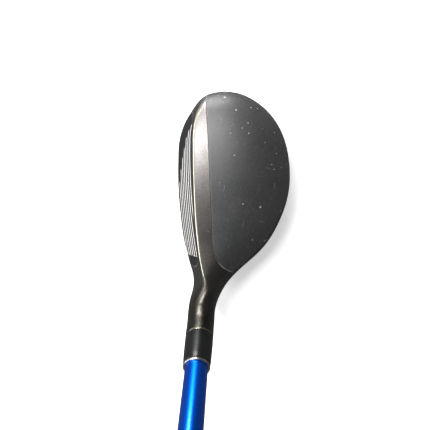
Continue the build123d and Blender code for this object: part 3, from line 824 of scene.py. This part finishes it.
def blend_colour(share, first, second):
    """first * (1 - share) + second * share."""
    return node(share.id_data, "Mix", {"data_type": "RGBA"}, _0=share, _6=paint_value(first),
                _7=paint_value(second)).outputs[2]


def feed(value, shader, name):
    """Links a value to one of the shader's inputs."""
    shader.id_data.links.new(value, shader.inputs[name])


def new_group(name, numbers, output="Mask"):
    """Empty node group with Object coordinates inside, number inputs and one output."""
    tree = bpy.data.node_groups.new(name, "ShaderNodeTree")
    for label, value in numbers.items():
        socket = tree.interface.new_socket(label, in_out="INPUT", socket_type="NodeSocketFloat")
        socket.default_value = value
    tree.interface.new_socket(output, in_out="OUTPUT", socket_type="NodeSocketFloat")
    inside = tree.nodes.new("NodeGroupInput")
    outside = tree.nodes.new("NodeGroupOutput")
    place = tree.nodes.new("ShaderNodeTexCoord").outputs["Object"]
    return tree, inside.outputs, outside.inputs[0], place


# %% Shared effects: grain, specks, scratches
grain, given, result, place = new_group("fine_grain", {"Size mm": 0.3, "Detail": 3.0}, "Value")
scale = maths("DIVIDE", 1000.0, given["Size mm"])
cloud = node(grain, "TexNoise", {}, Vector=place, Scale=scale, Detail=given["Detail"], Roughness=0.6)
grain.links.new(step(cloud.outputs["Fac"], 0.3, 0.7), result)

specks, given, result, place = new_group("dust_specks", {"Spacing mm": 5.0, "Size": 0.05, "Share": 0.5})
scale = maths("DIVIDE", 1000.0, given["Spacing mm"])
cells = node(specks, "TexVoronoi", {}, Vector=place, Scale=scale, Randomness=1.0)
wobble = node(specks, "TexNoise", {}, Vector=place, Scale=3000.0, Detail=1.0)
chance = node(specks, "SeparateColor", {}, _0=cells.outputs["Color"])
reach = times(given["Size"], chance.outputs[0])
far = maths("ADD", cells.outputs["Distance"],
            times(maths("SUBTRACT", wobble.outputs["Fac"], 0.5), 0.03))
inside = maths("LESS_THAN", far, reach)
picked = maths("LESS_THAN", chance.outputs[1], given["Share"])
specks.links.new(times(inside, picked), result)

scratches, given, result, place = new_group("hair_scratches",
                                            {"Length mm": 14.0, "Width": 0.012, "Share": 0.5})
total = None
for turn_about, seed in ((0.5, 0.0), (1.25, 3.1), (2.2, 7.7), (2.9, 12.4)):
    swung = node(scratches, "Mapping", {"vector_type": "TEXTURE"}, Vector=place,
                 Location=(seed, seed * 0.7, 0), Rotation=(0.0, 0.0, turn_about), Scale=(1.0, 0.07, 1.0))
    scale = maths("DIVIDE", 1000.0, given["Length mm"])
    cells = node(scratches, "TexVoronoi", {"feature": "F1"}, Vector=swung.outputs[0], Scale=scale)
    chance = node(scratches, "SeparateColor", {}, _0=cells.outputs["Color"])
    thin = times(maths("ADD", chance.outputs[0], 0.3), given["Width"])
    local = node(scratches, "VectorMath", {"operation": "SUBTRACT"}, _0=swung.outputs[0],
                 _1=cells.outputs["Position"])
    parts = node(scratches, "SeparateXYZ", {}, _0=local.outputs[0])
    cross = times(maths("ABSOLUTE", parts.outputs[1]), scale)
    line = maths("LESS_THAN", cross, thin)
    stretch = times(maths("ABSOLUTE", parts.outputs[0]), scale)
    line = times(line, maths("LESS_THAN", stretch, 0.3))
    line = times(line, maths("LESS_THAN", chance.outputs[1], given["Share"]))
    total = line if total is None else most(total, line)
scratches.links.new(total, result)
print("node groups:", [g.name for g in bpy.data.node_groups])


# %% Helper: start a material
def new_material(name, metallic=0.0, roughness=0.5, **plain):
    """Principled material; plain holds uniform numbers set straight on its sockets."""
    material = bpy.data.materials.new(name)
    material.use_nodes = True
    tree = material.node_tree
    shader = tree.nodes["Principled BSDF"]
    shader.inputs["Metallic"].default_value = metallic
    shader.inputs["Roughness"].default_value = roughness
    for label, value in plain.items():
        shader.inputs[label.replace("_", " ")].default_value = value
    return material, tree, shader


def effect(tree, group, **numbers):
    """Places a shared effect in a material with its own values."""
    made = tree.nodes.new("ShaderNodeGroup")
    made.node_tree = group
    for label, value in numbers.items():
        made.inputs[label.replace("_", " ")].default_value = value
    return made.outputs[0]


def bump(shader, height, distance):
    """Tilts the surface as if it stood distance metres higher where height is 1 than where it is 0."""
    made = node(shader.id_data, "Bump", {}, Strength=1.0, Distance=distance, Height=height)
    feed(made.outputs[0], shader, "Normal")


def attribute(tree, name):
    """The value that mark() stored under this name."""
    return node(tree, "Attribute", {"attribute_name": name}).outputs["Fac"]


def wear(piece, material):
    """The material becomes the piece's only one."""
    piece.data.materials.clear()
    piece.data.materials.append(material)
    print(piece.name, "wears", material.name, "of", len(material.node_tree.nodes), "nodes")


# %% [markdown]
# ### Crown coat
# A matte charcoal coat.  It has the very fine grain of a sprayed matte lacquer, cloudy variations where
# hands have polished it, pale specks of dust, a few hairlines, tiny chips along its toe edge, and a
# painted highlight along its seam at the heel.

# %% Crown coat
coat, tree, shader = new_material("crown_coat", roughness=0.46, Specular_IOR_Level=0.85)
cloud = effect(tree, grain, Size_mm=22.0, Detail=3.0)
fine = effect(tree, grain, Size_mm=0.22, Detail=2.0)
colour = blend_colour(cloud, (0.019, 0.020, 0.0195), (0.027, 0.028, 0.027))
colour = blend_colour(times(fine, 0.4), colour, (0.046, 0.048, 0.047))
sparkle = step(effect(tree, grain, Size_mm=0.9, Detail=4.0), 0.5, 1.0)
colour = blend_colour(times(sparkle, 0.32), colour, (0.080, 0.080, 0.078))
dots = most(effect(tree, specks, Spacing_mm=2.4, Size=0.13, Share=0.55),
             effect(tree, specks, Spacing_mm=4.0, Size=0.13, Share=0.3))
lines = times(effect(tree, scratches, Length_mm=4.5, Width=0.16, Share=0.0016), 0.5)
marks = times(most(dots, lines), 0.9)
# Painted highlight: the seam at the heel is painted pale.
marks = most(marks, times(attribute(tree, "painted_seam_highlight"), 0.7))
chip_cells = effect(tree, grain, Size_mm=0.7, Detail=4.0)
chips = times(step(chip_cells, 0.62, 0.75),
              times(step(attribute(tree, "edge"), 0.55, 1.0), attribute(tree, "toe_side")))
marks = most(marks, times(chips, 0.8))
feed(blend_colour(marks, colour, (0.42, 0.43, 0.40)), shader, "Base Color")
gloss = maths("ADD", step(cloud, 0, 1, 0.42, 0.48), times(marks, 0.2))
feed(gloss, shader, "Roughness")
bump(shader, fine, 0.00002)
wear(crown, coat)

# %% [markdown]
# ### Head steel
# Cast steel with a dark satin plating.  It is metallic with a medium roughness.  Its colour is painted
# paler at the toe and darker and warmer towards the heel and neck, as painted reflection and painted
# shade, and the rim of the face carries a painted highlight.  The bevel at the hosel's mouth is bare.

# %% Head steel
steel, tree, shader = new_material("head_steel", metallic=1.0, roughness=0.3)
cloud = effect(tree, grain, Size_mm=16.0, Detail=3.0)
fine = effect(tree, grain, Size_mm=0.18, Detail=2.0)
# Painted reflection and shade: pale at the toe, dark and warm at the heel and neck.
tone = blend_colour(attribute(tree, "painted_heel_shade"), (0.19, 0.175, 0.175), (0.039, 0.035, 0.026))
tone = blend_colour(times(cloud, 0.3), tone, (0.11, 0.10, 0.092))
tone = blend_colour(times(attribute(tree, "front"), 0.85), tone, (0.05, 0.049, 0.044))
tone = blend_colour(times(fine, 0.16), tone, (0.5, 0.48, 0.45))
pits = step(effect(tree, grain, Size_mm=0.8, Detail=4.0), 0.45, 1.0)
tone = blend_colour(times(pits, 0.35), tone, (0.06, 0.056, 0.05))
# A painted highlight along the face's rim, and the bare bevel of the hosel's mouth.
rim_highlight_and_bare_mouth = most(times(attribute(tree, "rim"), 0.9),
             times(attribute(tree, "mouth"), 0.55))
tone = blend_colour(rim_highlight_and_bare_mouth, tone, (0.74, 0.73, 0.56))
nicks = most(effect(tree, specks, Spacing_mm=2.6, Size=0.06, Share=0.10),
              effect(tree, scratches, Length_mm=4.0, Width=0.15, Share=0.0006))
feed(blend_colour(times(nicks, 0.5), tone, (0.8, 0.78, 0.72)), shader, "Base Color")
neck = step(attribute(tree, "painted_heel_shade"), 0.85, 1.0)
polish = maths("ADD", times(rim_highlight_and_bare_mouth, 0.1), times(neck, 0.12))
gloss = maths("SUBTRACT", step(cloud, 0, 1, 0.38, 0.44), polish)
feed(gloss, shader, "Roughness")
bump(shader, fine, 0.000012)
wear(head, steel)

# %% [markdown]
# ### Face steel
# The plate is plated darker and finely milled along its length.  The scorelines are painted near white
# and not metallic, so they stand out bright: a painted highlight in place of the light on bare metal.

# %% Face steel
plated, tree, shader = new_material("face_steel", metallic=1.0, roughness=0.38)
place = node(tree, "TexCoord").outputs["Object"]
drawn = node(tree, "Mapping", {}, Vector=place, Scale=(40.0, 2600.0, 2600.0))
milled = node(tree, "TexNoise", {}, Vector=drawn.outputs[0], Scale=1.0, Detail=2.0).outputs["Fac"]
cloud = effect(tree, grain, Size_mm=9.0, Detail=3.0)
tone = blend_colour(cloud, (0.032, 0.032, 0.029), (0.050, 0.049, 0.044))
line = attribute(tree, "groove")
# Painted highlight: the grooves are near white and not metallic.
feed(blend_colour(line, tone, (0.93, 0.91, 0.89)), shader, "Base Color")
feed(maths("SUBTRACT", 1.0, line), shader, "Metallic")
feed(step(milled, 0.3, 0.7, 0.34, 0.44), shader, "Roughness")
bump(shader, milled, 0.000006)
wear(plate, plated)


# %% [markdown]
# ### Plain turned finishes
# Plastic, rubber, plated steel and brass differ in colour, metal and roughness, but each has a grain of
# its own size that varies its colour and roughness a little and lifts its surface.

# %% Helper: a grained finish
def grained(name, dark, pale, metallic, rough, size, lift, **plain):
    """Colour and roughness vary between two values with a fine grain and a cloud 30 times its size."""
    material, tree, shader = new_material(name, metallic=metallic, **plain)
    fine = effect(tree, grain, Size_mm=size, Detail=2.0)
    cloud = effect(tree, grain, Size_mm=size * 30, Detail=2.0)
    share = maths("ADD", times(fine, 0.4), times(cloud, 0.6))
    feed(blend_colour(share, dark, pale), shader, "Base Color")
    feed(step(share, 0, 1, rough[0], rough[1]), shader, "Roughness")
    bump(shader, fine, lift)
    return material


# %% Plastic, metal and rubber
PLAIN = [
    # piece, finish, dark, pale, metallic, roughness, grain mm, lift m
    (ring, "ring_metal", 0.30, (0.40, 0.40, 0.39), 1, (0.26, 0.36), 0.12, 4e-6),
    (washer, "weight_steel", (0.42, 0.42, 0.43), 0.58, 1, (0.22, 0.34), 0.15, 1e-5),
    (screw, "screw_steel", (0.06, 0.06, 0.065), (0.11, 0.11, 0.115), 1, (0.28, 0.4), 0.12, 1e-5),
    (badge, "badge_metal", (0.62, 0.62, 0.64), 0.8, 1, (0.2, 0.32), 0.1, 8e-6),
    (grip, "grip_rubber", (0.013, 0.013, 0.014), (0.026, 0.026, 0.027), 0, (0.55, 0.72), 0.35, 5e-5),
    (cap, "cap_rubber", (0.016, 0.016, 0.017), 0.03, 0, (0.5, 0.66), 0.35, 4e-5),
]
for piece, *values in PLAIN:
    wear(piece, grained(*values))
wear(ferrule, grained("ferrule_plastic", (0.003, 0.0035, 0.0035), (0.006, 0.0065, 0.0065), 0,
                      (0.26, 0.33), 0.25, 2e-6, Specular_IOR_Level=0.38))

# %% [markdown]
# ### Shaft paint
# A metallic blue under clear lacquer: fine flakes vary the colour, and the lacquer gives the sharp
# highlight on top of the soft one.  The label is a dark film with plain silver bands.

# %% Shaft paint and label
paint, tree, shader = new_material("shaft_paint", metallic=1.0, roughness=0.3, Coat_Weight=0.25,
                                   Coat_Roughness=0.12)
flake = effect(tree, grain, Size_mm=0.06, Detail=1.0)
cloud = effect(tree, grain, Size_mm=12.0, Detail=2.0)
tone = blend_colour(flake, (0.0, 0.09, 0.72), (0.0, 0.15, 0.95))
tone = blend_colour(times(cloud, 0.3), tone, (0.0, 0.11, 0.80))
feed(tone, shader, "Base Color")
feed(step(flake, 0, 1, 0.28, 0.38), shader, "Roughness")
bump(shader, flake, 0.000002)
wear(shaft, paint)

film, tree, shader = new_material("label_film", metallic=0.2, roughness=0.3, Coat_Weight=0.6)
place = node(tree, "TexCoord").outputs["Object"]
lean = node(tree, "VectorMath", {"operation": "DOT_PRODUCT"}, _0=place, _1=tuple(ALONG)).outputs["Value"]
start = float(FOOT @ ALONG) * 0.001
level = times(maths("SUBTRACT", lean, start + 0.56), 1000.0)
bands = None
for low, high in ((4, 5.5), (7, 8), (82, 83), (84.5, 86)):
    band = times(maths("GREATER_THAN", level, low), maths("LESS_THAN", level, high))
    bands = band if bands is None else most(bands, band)
fine = effect(tree, grain, Size_mm=0.2, Detail=2.0)
tone = blend_colour(fine, (0.012, 0.013, 0.016), (0.022, 0.023, 0.028))
feed(blend_colour(bands, tone, (0.7, 0.72, 0.75)), shader, "Base Color")
feed(step(fine, 0, 1, 0.25, 0.34), shader, "Roughness")
wear(label, film)

# %% [markdown]
# ## Hidden parts
# The bond lines, plugs, pin and masses inside stay as the engineering solids.  They are given real
# finishes too, so that the model holds up when it is opened.

# %% Finishes of the hidden parts
HIDDEN = {
    "adhesive": (("crown_bond", "badge_adhesive", "tip_epoxy", "ferrule_epoxy"),
                 (0.35, 0.33, 0.25), (0.5, 0.47, 0.38), 0, (0.3, 0.5), 0.5),
    "port_steel": (("port_sleeve",), 0.3, 0.45, 1, (0.3, 0.45), 0.2),
    "dense_metal": (("back_weight",), (0.14, 0.14, 0.15), (0.24, 0.24, 0.25), 1, (0.4, 0.6), 0.4),
    "hot_melt": (("hot_melt_pad",), (0.5, 0.42, 0.25), (0.65, 0.58, 0.4), 0, (0.25, 0.45), 1.2),
    "plug_plastic": (("hosel_plug",), (0.5, 0.5, 0.48), (0.65, 0.65, 0.62), 0, (0.4, 0.55), 0.5),
    "pin_brass": (("tip_pin",), (0.6, 0.42, 0.16), (0.75, 0.55, 0.25), 1, (0.25, 0.4), 0.3),
    "tape": (("grip_tape",), (0.6, 0.58, 0.5), (0.75, 0.73, 0.66), 0, (0.6, 0.8), 0.6),
}
for name, (members, *values) in HIDDEN.items():
    finish = grained(name, *values, 2e-5)
    for member in members:
        for holder in nodes[member].material_slots:
            holder.material = finish
print("hidden parts finished:", sum(len(v[0]) for v in HIDDEN.values()))

# %% [markdown]
# ## Which body each piece rides on
# The whole club is one body, except the weight: its washer slides in the cup as the screw turns.

# %% Ride and replace
PIECES = [
    (head, "club", "head_body", "head_steel"),
    (plate, "club", "face_plate", "face_steel"),
    (crown, "club", "crown_plate", "crown_coat"),
    (badge, "club", "sole_badge", "badge_metal"),
    (ferrule, "club", "ferrule", "ferrule_plastic"),
    (ring, "club", "ferrule_ring", "ring_metal"),
    (shaft, "club", "shaft", "shaft_paint"),
    (label, "club", "shaft_label", "label_film"),
    (grip, "club", "grip_sleeve", "grip_rubber"),
    (cap, "club", "grip_cap", "cap_rubber"),
    (washer, "weight_cup", "weight_washer", "weight_steel"),
    (screw, "weight_bolt", "weight_screw", "screw_steel"),
]
for piece, body, stands_for, finish in PIECES:
    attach(piece, body)
    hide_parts(stands_for)
print("pieces riding on their bodies:", len(PIECES))

# %% [markdown]
# ## Floor
# A plain pale floor lies just below the sole.  It looks darker in reflections than it is, because a
# glossy club over a white floor would lose its dark underside.

# %% Floor
FLOOR_Z, FLOOR_HALF = -0.15, 6000.0


def floor_grid():
    """A flat square 12 m across: x and y on an even grid, height just below the sole."""
    line = np.linspace(-FLOOR_HALF, FLOOR_HALF, 13)
    x, y = np.meshgrid(line, line, indexing="ij")
    return np.stack([x, y, np.full_like(x, FLOOR_Z)], axis=-1)


floor = lay_grid("studio_floor", floor_grid(), wrap=False)
pale, tree, shader = new_material("floor_paint", roughness=0.9, Specular_IOR_Level=0.1)
soft = effect(tree, grain, Size_mm=3.0, Detail=2.0)
mirrored = node(tree, "LightPath").outputs["Is Glossy Ray"]
tone = blend_colour(soft, 0.90, 0.93)
tone = blend_colour(times(mirrored, 0.88), tone, 0.0)
feed(tone, shader, "Base Color")
shader.inputs["Emission Color"].default_value = (1.0, 1.0, 1.0, 1.0)
feed(step(mirrored, 0, 1, 0.5, 0.0), shader, "Emission Strength")
wear(floor, pale)
print("floor:", triangles(floor), "triangles")

# %% [markdown]
# ## Light
# Satin metal is only as good as what it mirrors, so the lights are wide and soft: one low beyond the
# toe, one high above the toe for the crown's sheen, and a long one in front of the face.  A weak even
# surround fills the rest, and the camera alone sees it bright, which keeps the background white.

# %% Lights
def softbox(name, place, aim, size, power):
    """A rectangular light at place, turned so that its -Z looks at aim."""
    lamp = bpy.data.lights.new(name, "AREA")
    lamp.shape = "RECTANGLE"
    lamp.size, lamp.size_y = size
    lamp.energy = power
    holder = bpy.data.objects.new(name, lamp)
    holder.location = place
    direction = Vector(aim) - Vector(place)
    holder.rotation_euler = direction.to_track_quat("-Z", "Y").to_euler()
    bpy.context.scene.collection.objects.link(holder)


softbox("toe_softbox", (-0.75, -0.12, 0.13), (0.05, -0.01, 0.06), (0.30, 0.24), 6.0)
softbox("high_softbox", (-0.34, -0.28, 0.78), (0.0, 0.0, 0.02), (0.60, 0.50), 12.0)
softbox("front_softbox", (0.0, -0.85, 0.38), (0.0, 0.0, 0.02), (1.1, 0.18), 7.0)
world = bpy.data.worlds.new("studio")
bpy.context.scene.world = world
world.use_nodes = True
surround = world.node_tree
seen = surround.nodes.new("ShaderNodeLightPath").outputs["Is Camera Ray"]
surround.links.new(step(seen, 0, 1, 0.16, 0.95), surround.nodes["Background"].inputs["Strength"])
surround.nodes["Background"].inputs["Color"].default_value = (1.0, 1.0, 1.0, 1.0)
bpy.context.scene.view_settings.view_transform = "Standard"
print("lights:", len(bpy.data.lights))

# %% [markdown]
# ## Camera
# It looks almost straight down on the head from a quarter of a metre up, with the toe at the top of the
# picture.  Its turn is built from the two directions that are rightwards and upwards there.

# %% Camera
eye = bpy.data.cameras.new("camera")
eye.lens = 41.9
eye.sensor_width = 36.0
eye.clip_start = 0.005
camera = bpy.data.objects.new("camera", eye)
to_right = Vector((0.08788, 0.99073, -0.10361)).normalized()
to_back = to_right.cross(Vector((-0.99604, 0.08597, -0.02272))).normalized()
to_top = to_back.cross(to_right)
stance = Matrix((to_right, to_top, to_back)).transposed()
camera.matrix_world = Matrix.Translation((0.01018, 0.02337, 0.26062)) @ stance.to_4x4()
bpy.context.scene.collection.objects.link(camera)
bpy.context.scene.camera = camera
print("camera looks along", [round(float(v), 2) for v in -to_back])
